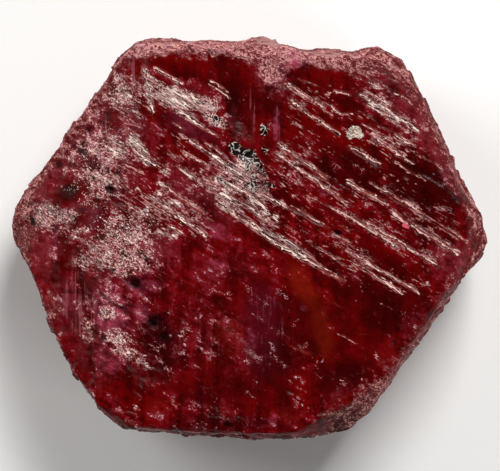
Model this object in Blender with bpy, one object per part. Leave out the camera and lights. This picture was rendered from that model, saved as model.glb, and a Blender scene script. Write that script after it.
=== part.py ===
"""A raw ruby: one six-sided corundum tablet, lying on one of its two basal faces.

The crystal is a single solid. Its body is a stack of six-sided rings, cut by flat faces, then notched by
the growth ledges that cross the table, with lumps, pits and chips where it is rough. Sizes are in
millimetres, and the mesh is scaled to metres at the end. +Z is up, out of the table.
"""
import math
import random

import bmesh
import bpy
from mathutils import Matrix, Vector

MILLIMETRE = 0.001
UP = Vector((0, 0, 1))

# Driving dimensions, in millimetres.
THICKNESS = 13.0          # from the basal face it lies on to the table
LENGTH = 34.1             # across the west and east corners
WIDTH = 29.0              # across the south and north faces
GIRDLE_HEIGHT = 6.2       # where the crystal is widest
LEAN = (-0.018, 0.012)    # how far the rings shift along X and Y for each millimetre of height
RING_ROUGHNESS = 0.13     # how far a ring's points stray from their line
WEDGE_PROUD = 0.6         # how far a cutter stands out of the face that it cuts
WEDGE_SECTIONS = ((0.0, -0.25), (0.22, 1.0), (0.55, 0.85), (0.8, 0.7), (1.0, -0.25))  # place, depth
RISER_LEAN = 0.12         # how far the top of a ledge's steep side leans back
NARROWEST = 0.15          # how narrow a ledge's tread gets at its ends, as a share of its width
LEDGE_WANDER = 0.06       # how far a ledge strays from its straight line
BROKEN_ROUGHNESS = 0.16   # how uneven lumps, pits and breaks are, as a share of their radius
SHORTEST_EDGE = 0.02      # corners closer than this are joined
THINNEST_SLIVER = 0.01    # triangles thinner than this are dropped
GROWTH_SEED = 11

# The girdle's outline, anticlockwise. A raw crystal's faces are only nearly straight.
EAST_CORNER = [(16.5, -1.4), (17.05, -0.3), (16.4, 1.8)]
NORTH_EAST_FACE = [(15.4, 3.6), (14.6, 5.4), (13.6, 7.7), (12.6, 9.9), (11.8, 11.4)]
NORTH_EAST_CORNER = [(10.9, 12.8), (10.0, 13.4)]
NORTH_FACE = [(9.0, 13.8), (7.1, 13.4), (5.2, 13.6), (3.9, 13.5), (2.1, 14.1), (-0.4, 14.2), (-3.5, 14.3),
              (-6.3, 14.2)]
NORTH_WEST_CORNER = [(-8.1, 14.2), (-9.2, 13.1)]
NORTH_WEST_FACE = [(-10.1, 11.7), (-11.1, 10.3), (-12.4, 8.3), (-13.6, 6.5), (-14.9, 4.9), (-16.1, 3.3)]
WEST_CORNER = [(-16.9, 2.0), (-17.05, 1.0), (-16.7, -0.3)]
SOUTH_WEST_FACE = [(-15.7, -2.2), (-14.7, -4.5), (-13.9, -6.5), (-13.0, -8.6), (-11.8, -10.7)]
SOUTH_WEST_CORNER = [(-10.2, -12.6), (-8.9, -13.6)]
SOUTH_FACE = [(-6.8, -13.9), (-3.5, -14.1), (0.0, -14.45), (2.6, -14.4), (5.0, -14.2)]
SOUTH_EAST_CORNER = [(7.0, -13.7), (8.4, -12.6)]
SOUTH_EAST_FACE = [(9.95, -10.4), (11.3, -8.4), (12.6, -6.75), (13.8, -5.1), (15.2, -2.95)]

# The sides in order, and how much each is bevelled above and below the girdle, as a share of the rings' inset.
SIDES = [
    (EAST_CORNER, 0.9),
    (NORTH_EAST_FACE, 1.0),
    (NORTH_EAST_CORNER, 1.0),
    (NORTH_FACE, 1.0),
    (NORTH_WEST_CORNER, 1.0),
    (NORTH_WEST_FACE, 1.0),
    (WEST_CORNER, 1.0),
    (SOUTH_WEST_FACE, 0.75),
    (SOUTH_WEST_CORNER, 0.45),
    (SOUTH_FACE, 0.65),
    (SOUTH_EAST_CORNER, 0.6),
    (SOUTH_EAST_FACE, 0.55),
]

# Each ring's height, and how far it lies inside the girdle. The pairs close together are growth steps.
RINGS = [
    (0.0, 1.9),
    (0.8, 0.85),
    (2.6, 0.45),
    (2.9, 0.20),
    (GIRDLE_HEIGHT, 0.0),
    (8.3, 0.08),
    (8.6, 0.30),
    (11.2, 0.22),
    (12.1, 0.45),
    (12.7, 0.85),
    (THICKNESS, 1.35),
]

# Flat faces that cut the body: a point on the face, and the direction in which the face looks.
FLAT_FACES = [
    ((-8.8, 6.5, 13.0), (-0.30, 0.10, 1.0)),      # upper-left slope of the table
    ((-10.2, -4.0, 13.0), (-0.36, -0.03, 1.0)),   # lower-left slope of the table
    ((-15.3, 1.0, 10.9), (-1.0, 0.12, 0.85)),     # blunt west corner
    ((10.6, 12.3, 12.0), (0.75, 0.8, 1.0)),       # chipped north-east corner
    ((6.9, -12.4, 12.0), (0.5, -0.9, 0.8)),       # chipped south-east corner
    ((15.7, -0.5, 12.0), (1.0, -0.25, 0.9)),      # chipped east corner
    ((-9.2, -13.1, 12.3), (-0.6, -0.9, 0.9)),     # chipped south-west corner
    ((-14.6, 0.5, 1.2), (-0.9, 0.2, -0.8)),       # chips on the edge underneath
    ((13.9, -2.8, 0.9), (0.8, -0.4, -0.9)),
    ((4.0, 12.6, 0.9), (0.1, 0.9, -1.0)),
    ((-6.5, -12.2, 0.9), (-0.35, -0.8, -0.9)),
]

# Growth ledges across the table, all nearly parallel: start, end, height of the riser, width of the tread.
TABLE_LEDGES = [
    ((2.3, 10.9), (5.3, 9.0), 0.22, 1.2),
    ((2.7, 9.7), (6.5, 7.0), 0.32, 1.4),
    ((1.8, 6.7), (5.7, 3.9), 0.34, 1.5),
    ((2.3, 5.6), (7.1, 2.2), 0.30, 1.3),
    ((-2.1, 2.4), (3.1, -1.2), 0.40, 1.5),
    ((2.3, -0.7), (6.8, -3.1), 0.40, 1.5),
    ((2.7, 2.4), (5.4, 0.8), 0.20, 0.9),
    ((8.4, 7.2), (11.6, 5.0), 0.26, 1.2),
    ((6.9, 6.4), (9.3, 5.1), 0.20, 1.0),
    ((6.6, 4.0), (9.6, 2.4), 0.28, 1.2),
    ((8.1, 4.0), (15.2, -0.3), 0.32, 1.1),
    ((9.6, 2.0), (14.6, -1.2), 0.34, 1.2),
    ((6.3, 1.9), (10.6, -0.8), 0.26, 1.1),
    ((7.7, 1.4), (13.8, -2.3), 0.30, 1.1),
    ((6.6, -0.7), (12.2, -4.1), 0.32, 1.4),
    ((7.1, -1.6), (10.9, -4.0), 0.24, 1.0),
    ((-5.0, 7.4), (-0.7, 4.5), 0.28, 1.3),
    ((-5.0, 8.9), (-2.0, 6.9), 0.24, 1.1),
    ((-6.5, 4.0), (-3.0, 1.6), 0.30, 1.3),
    ((-5.1, 1.6), (-2.8, 0.1), 0.24, 1.0),
    ((-6.8, 12.0), (-4.5, 10.7), 0.22, 1.1),
    ((-9.3, 8.5), (-7.4, 7.6), 0.24, 1.0),
]

# Growth ledges on the six prism faces: the face, the ledge's height on it, where it starts and ends as
# shares of the face's length, height of the riser, width of the tread.
FACE_LEDGES = [
    (NORTH_EAST_FACE, 4.4, 0.05, 0.80, 0.45, 2.0),
    (NORTH_EAST_FACE, 9.3, 0.30, 0.95, 0.35, 1.3),
    (NORTH_FACE, 4.0, 0.05, 0.55, 0.50, 2.2),
    (NORTH_FACE, 9.4, 0.45, 0.95, 0.40, 1.4),
    (NORTH_WEST_FACE, 3.6, 0.20, 0.95, 0.45, 2.0),
    (NORTH_WEST_FACE, 7.0, 0.05, 0.65, 0.40, 1.6),
    (SOUTH_WEST_FACE, 4.7, 0.05, 0.85, 0.50, 1.9),
    (SOUTH_WEST_FACE, 7.4, 0.35, 0.95, 0.36, 1.5),
    (SOUTH_FACE, 3.8, 0.10, 0.75, 0.50, 2.3),
    (SOUTH_FACE, 8.9, 0.30, 0.95, 0.40, 1.7),
    (SOUTH_EAST_FACE, 5.4, 0.05, 0.80, 0.45, 1.9),
    (SOUTH_EAST_FACE, 8.8, 0.25, 0.95, 0.36, 1.4),
]

# Growth ledges on the face underneath, in the same way as those on the table.
BASE_LEDGES = [
    ((-1.5, 9.6), (-10.6, 5.4), 0.42, 5.0),
    ((-8.6, 6.8), (-12.6, 0.4), 0.36, 4.0),
    ((-6.0, -9.6), (5.5, -9.0), 0.42, 5.0),
    ((11.6, 4.0), (3.0, 9.4), 0.42, 4.6),
    ((7.6, -8.6), (12.4, -1.6), 0.38, 4.2),
]

# Angular lumps grown onto the surface: centre, and radius along X, Y and Z.
LUMPS = [
    ((1.0, 12.5, 9.4), (3.0, 2.25, 2.4)),
    ((5.4, 12.0, 8.6), (1.5, 1.7, 1.6)),
    ((8.9, 12.0, 9.9), (1.6, 1.7, 1.3)),
    ((-14.0, 3.6, 8.0), (2.0, 1.6, 1.9)),
    ((-14.6, -0.6, 8.1), (1.7, 2.0, 1.8)),
    ((-10.7, 7.6, 9.9), (1.9, 1.6, 1.6)),
    ((-12.2, 5.2, 11.1), (1.5, 1.6, 1.0)),
    ((-12.9, -5.6, 9.2), (1.5, 2.3, 1.7)),
    ((-10.6, -9.2, 10.9), (1.6, 2.0, 1.4)),
    ((-4.2, -12.8, 10.3), (2.4, 1.5, 1.7)),
    ((3.8, -13.0, 10.2), (2.1, 1.4, 1.8)),
    ((7.4, -11.8, 9.4), (1.0, 1.1, 1.4)),
    ((12.6, -4.8, 6.0), (1.4, 1.7, 2.4)),
    ((13.3, 4.7, 8.2), (1.4, 2.2, 1.7)),
    ((-8.6, 12.2, 5.6), (1.5, 1.6, 2.2)),
    ((-11.4, -9.2, 4.8), (1.5, 1.6, 1.9)),
]

# Small pits and hollows: centre, and radius along X, Y and Z.
PITS = [
    ((-12.4, 3.1, 11.2), (0.42, 0.95, 1.1)),
    ((-9.8, 3.4, 12.9), (0.40, 0.36, 0.5)),
    ((-15.8, 1.15, 10.2), (0.38, 0.30, 0.4)),
    ((-0.4, 5.9, 13.0), (1.10, 0.80, 0.32)),
    ((-8.2, -3.2, 12.9), (0.35, 0.40, 0.5)),
    ((-6.7, -6.0, 12.8), (0.38, 0.34, 0.5)),
    ((-6.0, -7.1, 12.8), (0.30, 0.34, 0.4)),
    ((-9.8, -2.4, 12.8), (0.34, 0.30, 0.5)),
    ((-1.4, -13.9, 11.6), (1.60, 0.80, 1.0)),
    ((-5.5, -14.4, 11.2), (1.20, 0.70, 0.9)),
    ((1.9, -14.7, 10.4), (1.30, 0.60, 0.9)),
    ((-14.5, -6.1, 4.6), (0.80, 1.10, 1.0)),
]

# Wide shallow breaks, where flakes have come away: centre, and radius along X, Y and Z.
BREAKS = [
    ((-0.8, 8.6, 14.3), (2.6, 7.0, 1.46)),      # on the table
    ((1.5, 12.9, 14.1), (2.6, 2.6, 1.60)),
    ((-5.4, 5.8, 14.3), (5.4, 3.6, 1.45)),
    ((-6.2, -1.0, 14.3), (5.6, 4.0, 1.46)),
    ((-6.6, -8.0, 14.2), (5.0, 5.6, 1.46)),
    ((-1.2, -5.6, 14.3), (4.6, 5.6, 1.46)),
    ((-2.0, -11.4, 14.3), (6.0, 3.4, 1.48)),
    ((4.4, -7.6, 14.3), (5.0, 6.0, 1.45)),
    ((9.6, -6.4, 14.3), (3.6, 5.0, 1.46)),
    ((11.4, 7.4, 14.3), (3.0, 5.6, 1.48)),
    ((-13.2, -3.4, 12.4), (1.8, 2.6, 1.50)),
    ((14.9, 8.4, 4.4), (2.0, 3.0, 2.4)),        # on the prism faces
    ((13.3, 11.4, 9.8), (1.8, 1.8, 1.6)),
    ((-13.5, 9.3, 4.6), (1.9, 2.6, 2.8)),
    ((-15.6, -7.1, 8.4), (2.1, 2.8, 2.2)),
    ((1.2, -15.9, 4.6), (3.8, 2.0, 3.0)),
    ((-8.6, -15.4, 7.0), (2.8, 2.2, 2.4)),
    ((-3.6, 15.6, 7.6), (3.6, 2.0, 2.6)),
    ((7.2, 14.6, 5.2), (2.6, 1.8, 2.6)),
    ((13.5, -8.9, 3.8), (2.4, 2.6, 2.6)),
    ((16.6, -4.0, 9.6), (2.0, 2.2, 1.9)),
    ((-3.0, 2.6, -1.1), (4.2, 3.0, 1.40)),      # underneath
    ((6.2, -3.4, -1.2), (2.8, 3.8, 1.45)),
    ((-8.4, -5.6, -1.1), (2.4, 2.8, 1.35)),
]


def at_height(x, y, height, inset):
    """A point of the girdle's outline, moved to a height, inwards by an inset and along the lean."""
    spot = Vector((x, y))
    spot *= 1 - inset / spot.length
    spot += Vector(LEAN) * (height - GIRDLE_HEIGHT)
    return Vector((spot.x, spot.y, height))


def inset_at(height):
    """How far the body lies inside the girdle at a height, between its rings."""
    for (low, low_inset), (high, high_inset) in zip(RINGS, RINGS[1:]):
        if low <= height <= high:
            return low_inset + (high_inset - low_inset) * (height - low) / (high - low)
    return 0.0


def ring_points(height, inset, draw):
    """The outline at one height, roughened."""
    return [at_height(x, y, height, inset * bevel + draw.uniform(-RING_ROUGHNESS, RING_ROUGHNESS))
            for side, bevel in SIDES for x, y in side]


def crystal_body(draw):
    """The stack of rings, closed by the two basal faces."""
    mesh = bmesh.new()
    loops = []
    for height, inset in RINGS:
        loops.append([mesh.verts.new(point) for point in ring_points(height, inset, draw)])
    count = len(loops[0])
    for lower, upper in zip(loops, loops[1:]):
        for here in range(count):
            after = (here + 1) % count
            mesh.faces.new((lower[here], lower[after], upper[after], upper[here]))
    mesh.faces.new(list(reversed(loops[0])))
    mesh.faces.new(loops[-1])
    return mesh


def cut_flat_face(mesh, point, outward):
    """Cut off what lies outside a flat face, and close the cut."""
    everything = mesh.verts[:] + mesh.edges[:] + mesh.faces[:]
    cut = bmesh.ops.bisect_plane(mesh, geom=everything, plane_co=Vector(point),
                                 plane_no=Vector(outward), clear_outer=True)
    rim = [part for part in cut["geom_cut"] if isinstance(part, bmesh.types.BMEdge)]
    bmesh.ops.holes_fill(mesh, edges=rim, sides=0)


def wedge(start, end, outward, riser, tread, draw):
    """A cutter for one ledge: steep on the line from start to end, climbing gently away to its left."""
    along = end - start
    across = outward.cross(along).normalized()
    run = tread * (1 + WEDGE_PROUD / riser)
    mesh = bmesh.new()
    sections = []
    for share, fullness in WEDGE_SECTIONS:
        foot = start + along * share + across * draw.uniform(-LEDGE_WANDER, LEDGE_WANDER)
        reach = run * max(fullness, NARROWEST)
        sections.append([mesh.verts.new(corner) for corner in (
            foot - outward * riser * fullness,
            foot + outward * WEDGE_PROUD - across * RISER_LEAN,
            foot + outward * WEDGE_PROUD + across * reach,
        )])
    for before, after in zip(sections, sections[1:]):
        for here in range(3):
            there = (here + 1) % 3
            mesh.faces.new((before[here], before[there], after[there], after[here]))
    mesh.faces.new(sections[0])
    mesh.faces.new(sections[-1])
    return mesh


def broken_form(centre, radii, splits, draw):
    """An uneven faceted form, for a lump, a pit or a break."""
    mesh = bmesh.new()
    bmesh.ops.create_icosphere(mesh, subdivisions=splits, radius=1.0)
    turn = Matrix.Rotation(draw.uniform(0, math.tau), 3, UP)
    for corner in mesh.verts:
        uneven = 1 + draw.uniform(-BROKEN_ROUGHNESS, BROKEN_ROUGHNESS)
        corner.co = Vector(centre) + Vector(radii) * (turn @ corner.co) * uneven
    return mesh


def height_under_faces(x, y):
    """How high the table is at a place, where the flat faces have cut it."""
    height = THICKNESS
    for point, outward in FLAT_FACES:
        if outward[2] > 0:
            away = (x - point[0]) * outward[0] + (y - point[1]) * outward[1]
            height = min(height, point[2] - away / outward[2])
    return height


def table_cutters(draw):
    """The ledges that cross the table."""
    for start, end, riser, tread in TABLE_LEDGES:
        ends = [Vector((x, y, height_under_faces(x, y))) for x, y in (start, end)]
        yield wedge(ends[0], ends[1], UP, riser, tread, draw)


def base_cutters(draw):
    """The ledges on the face underneath."""
    for start, end, riser, tread in BASE_LEDGES:
        ends = [Vector((x, y, 0)) for x, y in (start, end)]
        yield wedge(ends[0], ends[1], -UP, riser, tread, draw)


def face_cutters(draw):
    """The ledges that run along the prism faces."""
    bevels = {tuple(side): bevel for side, bevel in SIDES}
    for face, height, first, last, riser, tread in FACE_LEDGES:
        inset = inset_at(height) * bevels[tuple(face)]
        near = at_height(*face[0], height, inset)
        far = at_height(*face[-1], height, inset)
        outward = (far - near).cross(UP).normalized()
        yield wedge(near.lerp(far, first), near.lerp(far, last), outward, riser, tread, draw)


def add_object(name, mesh):
    """Put a finished mesh into the scene."""
    bmesh.ops.recalc_face_normals(mesh, faces=mesh.faces)
    data = bpy.data.meshes.new(name)
    mesh.to_mesh(data)
    mesh.free()
    thing = bpy.data.objects.new(name, data)
    bpy.context.collection.objects.link(thing)
    return thing


def combine(body, tool_mesh, operation):
    """Join a form to the body, or cut it away, and drop the form."""
    tool = add_object("tool", tool_mesh)
    step = body.modifiers.new("step", 'BOOLEAN')
    step.operation = operation
    step.solver = 'EXACT'
    step.object = tool
    result = bpy.data.meshes.new_from_object(body.evaluated_get(bpy.context.evaluated_depsgraph_get()))
    body.modifiers.clear()
    body.data = result
    bpy.data.objects.remove(tool)


def drop_loose_chips(mesh):
    """Keep only the largest connected body: a chip that a cut has freed falls away."""
    waiting = set(mesh.verts)
    bodies = []
    while waiting:
        reached = [waiting.pop()]
        for corner in reached:
            for edge in corner.link_edges:
                other = edge.other_vert(corner)
                if other in waiting:
                    waiting.remove(other)
                    reached.append(other)
        bodies.append(reached)
    bodies.sort(key=len)
    for chip in bodies[:-1]:
        bmesh.ops.delete(mesh, geom=chip, context='VERTS')


def clean_up(body):
    """Drop slivers, stand the crystal over the origin and scale it to metres."""
    mesh = bmesh.new()
    mesh.from_mesh(body.data)
    bmesh.ops.remove_doubles(mesh, verts=mesh.verts, dist=SHORTEST_EDGE)
    bmesh.ops.dissolve_degenerate(mesh, edges=mesh.edges, dist=THINNEST_SLIVER)
    drop_loose_chips(mesh)
    bmesh.ops.triangulate(mesh, faces=mesh.faces)
    lows = [min(corner.co[axis] for corner in mesh.verts) for axis in range(3)]
    highs = [max(corner.co[axis] for corner in mesh.verts) for axis in range(3)]
    middle = Vector(((lows[0] + highs[0]) / 2, (lows[1] + highs[1]) / 2, lows[2]))
    full = Vector((LENGTH, WIDTH, THICKNESS))
    for corner in mesh.verts:
        spot = corner.co - middle
        for axis in range(3):
            spot[axis] *= full[axis] / (highs[axis] - lows[axis])
        corner.co = spot * MILLIMETRE
    mesh.to_mesh(body.data)
    mesh.free()


def ruby_material():
    """Corundum coloured by chromium: deep red, hard and only half shiny on a rough crystal."""
    material = bpy.data.materials.new("raw_ruby")
    material.use_nodes = True
    shader = material.node_tree.nodes["Principled BSDF"]
    shader.inputs["Base Color"].default_value = (0.165, 0.013, 0.018, 1)
    shader.inputs["Roughness"].default_value = 0.38
    shader.inputs["Metallic"].default_value = 0.0
    return material


def ruby_crystal():
    """The whole crystal: its body, what grew on it, and all that has broken out of it."""
    draw = random.Random(GROWTH_SEED)
    mesh = crystal_body(draw)
    for point, outward in FLAT_FACES:
        cut_flat_face(mesh, point, outward)
    body = add_object("ruby_crystal", mesh)
    for centre, radii in LUMPS:
        combine(body, broken_form(centre, radii, 1, draw), 'UNION')
    for centre, radii in BREAKS:
        combine(body, broken_form(centre, radii, 2, draw), 'DIFFERENCE')
    for cutters in (table_cutters(draw), face_cutters(draw), base_cutters(draw)):
        for cutter in cutters:
            combine(body, cutter, 'DIFFERENCE')
    for centre, radii in PITS:
        combine(body, broken_form(centre, radii, 1, draw), 'DIFFERENCE')
    clean_up(body)
    body.data.materials.clear()
    body.data.materials.append(ruby_material())
    return body


for leftover in list(bpy.data.objects):
    bpy.data.objects.remove(leftover)
ruby_crystal()
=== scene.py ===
"""A raw ruby: one rough six-sided crystal of corundum, lying on a plain pale floor.

The scene's lengths are in metres. A name that ends in _MM, and each place or size in a list, is in
millimetres, with X to the right and Y up as the crystal is seen from above.
"""
import math

import bmesh
import bpy
import numpy as np
from mathutils import Matrix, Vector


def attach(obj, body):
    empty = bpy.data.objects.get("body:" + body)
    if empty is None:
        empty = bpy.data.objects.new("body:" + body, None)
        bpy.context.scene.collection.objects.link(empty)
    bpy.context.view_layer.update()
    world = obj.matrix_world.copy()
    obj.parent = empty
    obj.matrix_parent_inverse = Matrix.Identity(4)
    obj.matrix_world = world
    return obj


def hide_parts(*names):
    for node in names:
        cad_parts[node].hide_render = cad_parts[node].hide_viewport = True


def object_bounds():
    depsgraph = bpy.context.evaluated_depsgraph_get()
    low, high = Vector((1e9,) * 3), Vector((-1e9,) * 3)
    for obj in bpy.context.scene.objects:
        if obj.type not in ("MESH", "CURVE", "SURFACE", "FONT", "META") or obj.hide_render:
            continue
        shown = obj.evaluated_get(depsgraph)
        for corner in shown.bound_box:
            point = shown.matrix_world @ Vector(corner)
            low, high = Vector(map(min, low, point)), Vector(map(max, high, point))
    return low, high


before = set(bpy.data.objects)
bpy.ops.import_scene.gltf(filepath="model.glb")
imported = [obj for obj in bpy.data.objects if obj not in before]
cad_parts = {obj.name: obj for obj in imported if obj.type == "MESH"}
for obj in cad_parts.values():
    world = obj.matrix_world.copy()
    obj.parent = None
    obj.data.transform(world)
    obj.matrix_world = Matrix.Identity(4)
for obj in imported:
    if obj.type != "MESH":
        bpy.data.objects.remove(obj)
cad_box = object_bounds()

# The crystal's form
# One tablet of corundum that grew by adding thin layers, whose edges cross the table as parallel ledges. The
# solid gives the faces and the main ledges. Its skin is divided into cells that are long along the ledges and
# narrow across them, so that fine ledges stay crisp.
MM = 1000.0                         # millimetres in a metre
LEDGE_ANGLE = math.radians(-33.5)   # the ledges' direction, from X
CELL_ALONG_MM = 0.27
CELL_ACROSS_MM = 0.118
CELL_UP_MM = 0.22
WELD_DISTANCE = 1e-6
TABLE_TILT = (0.35, 0.8)            # how far a face looks up, from none of the table to all of it
TABLE_RISE_MM = (7.0, 9.5)          # and how high it lies


def evaluated_mesh(piece):
    """The mesh of a piece with its modifiers applied."""
    return bpy.data.meshes.new_from_object(piece.evaluated_get(bpy.context.evaluated_depsgraph_get()))


def crystal_form(node):
    """A copy of the solid, in cells that follow the ledges."""
    mesh = bmesh.new()
    mesh.from_mesh(node.data)
    bmesh.ops.remove_doubles(mesh, verts=mesh.verts, dist=WELD_DISTANCE)
    stretch = Matrix.Diagonal((CELL_UP_MM / CELL_ALONG_MM, CELL_UP_MM / CELL_ACROSS_MM, 1)).to_4x4()
    to_cells = stretch @ Matrix.Rotation(-LEDGE_ANGLE, 4, 'Z') @ Matrix.Scale(MM, 4)
    mesh.transform(to_cells)
    data = bpy.data.meshes.new("crystal_skin")
    mesh.to_mesh(data)
    mesh.free()
    piece = bpy.data.objects.new("crystal_skin", data)
    bpy.context.collection.objects.link(piece)
    cells = piece.modifiers.new("cells", 'REMESH')
    cells.mode = 'VOXEL'
    cells.voxel_size = CELL_UP_MM
    piece.data = evaluated_mesh(piece)
    piece.modifiers.clear()
    piece.data.transform(to_cells.inverted())
    return piece


def read_points(data, attribute="co"):
    """One vector for each vertex: its place in millimetres, or its normal."""
    values = np.empty(len(data.vertices) * 3, dtype=np.float32)
    data.vertices.foreach_get(attribute, values)
    scale = MM if attribute == "co" else 1.0
    return values.reshape(-1, 3).astype(float) * scale


def write_points(data, points):
    """Move the vertices to places given in millimetres."""
    data.vertices.foreach_set("co", (points / MM).astype(np.float32).ravel())
    data.update()


def write_masks(data, **masks):
    """Keep numbers for each vertex, each set under a name, for the relief and the finish to read."""
    for name, values in masks.items():
        kept = data.attributes.new(name, 'FLOAT', 'POINT')
        kept.data.foreach_set("value", np.asarray(values, dtype=np.float32))


def ease(values, low, high):
    """0 below low, 1 above high, and a smooth rise between them."""
    share = np.clip((values - low) / (high - low), 0, 1)
    return share * share * (3 - 2 * share)


crystal = crystal_form(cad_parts["ruby_crystal"])
skin = read_points(crystal.data)
looks = read_points(crystal.data, "normal")
on_table = ease(looks[:, 2], *TABLE_TILT) * ease(skin[:, 2], *TABLE_RISE_MM)

# Fine ledges
# Thin growth layers between the main ledges: a steep riser that faces up and right, then a tread that climbs
# back. Each is a start, an end, the riser's height and the tread's width.
FINE_LEDGES = [
    ((2.3, 10.7), (5.3, 8.8), 0.08, 0.7), ((3.3, 11.2), (4.8, 10.5), 0.08, 0.5),
    ((2.9, 8.1), (3.7, 7.6), 0.08, 0.5), ((5.4, 9.4), (6.6, 8.6), 0.07, 0.5),
    ((2.7, 2.2), (5.4, 0.6), 0.1, 0.7), ((0.9, 3.1), (2.8, 1.9), 0.1, 0.6),
    ((-2.1, 3.5), (0.6, 1.7), 0.1, 0.6), ((-1.5, 3.9), (0.9, 2.3), 0.07, 0.5),
    ((5.7, 2.0), (7.7, 1.2), 0.08, 0.6), ((10.0, 7.3), (11.6, 6.3), 0.1, 0.6),
    ((6.9, 6.2), (9.3, 4.9), 0.1, 0.8), ((3.8, -0.1), (7.7, -2.6), 0.09, 0.7),
    ((-4.8, 6.1), (-2.6, 4.8), 0.09, 0.5), ((-3.1, 6.6), (-1.7, 5.8), 0.08, 0.4),
    ((-2.7, 6.5), (-1.4, 5.5), 0.08, 0.4), ((-5.1, 5.1), (-3.8, 4.1), 0.09, 0.5),
    ((-5.6, 0.8), (-4.5, 0.2), 0.09, 0.5), ((-5.4, 8.0), (-4.5, 7.5), 0.08, 0.4),
    ((-2.8, 11.1), (-1.3, 10.0), 0.08, 0.4), ((-2.9, 10.8), (-1.2, 9.6), 0.08, 0.4),
    ((4.5, 5.0), (7.2, 3.1), 0.08, 0.6), ((8.8, 9.6), (11.0, 8.0), 0.08, 0.6),
    ((7.8, 8.9), (10.2, 7.1), 0.08, 0.7), ((12.0, 4.6), (13.6, 3.4), 0.08, 0.6),
    ((3.2, 0.9), (5.6, -0.9), 0.06, 0.6), ((9.4, 3.2), (12.6, 1.0), 0.07, 0.5),
]
RISER_WIDTH_MM = 0.10
LEDGE_STARTS = (0.0, 0.15)  # the shares of its length where a ledge rises to its full height
LEDGE_ENDS = (0.8, 1.0)     # and where it dies out
STRAY_MM = 0.07             # how far a ledge strays from a straight line
QUICK_STRAY = 2.3           # how fast it does, in radians for each millimetre along it
SLOW_STRAY = 0.9


def ledge_places(points, start, end):
    """Each point's share of the way along a ledge, and how far it lies above the ledge's line."""
    start, end = np.array(start), np.array(end)
    length = np.linalg.norm(end - start)
    along = (end - start) / length
    away = points[:, :2] - start
    share = away @ along / length
    stray = STRAY_MM * np.sin(share * length * QUICK_STRAY + start[0] * 5)
    stray *= np.sin(share * length * SLOW_STRAY + start[1])
    return share, away @ np.array([-along[1], along[0]]) + stray


def ledge_profile(points, start, end, riser, tread):
    """How far one ledge lowers each point."""
    share, across = ledge_places(points, start, end)
    ends = ease(share, *LEDGE_STARTS) * (1 - ease(share, *LEDGE_ENDS))
    fall = ease(across, -RISER_WIDTH_MM / 2, RISER_WIDTH_MM / 2)
    climb = 1 - np.clip(across / tread, 0, 1)
    return riser * ends * fall * climb


lowered = sum(ledge_profile(skin, *ledge) for ledge in FINE_LEDGES)
skin[:, 2] -= lowered * on_table
write_points(crystal.data, skin)

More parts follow.
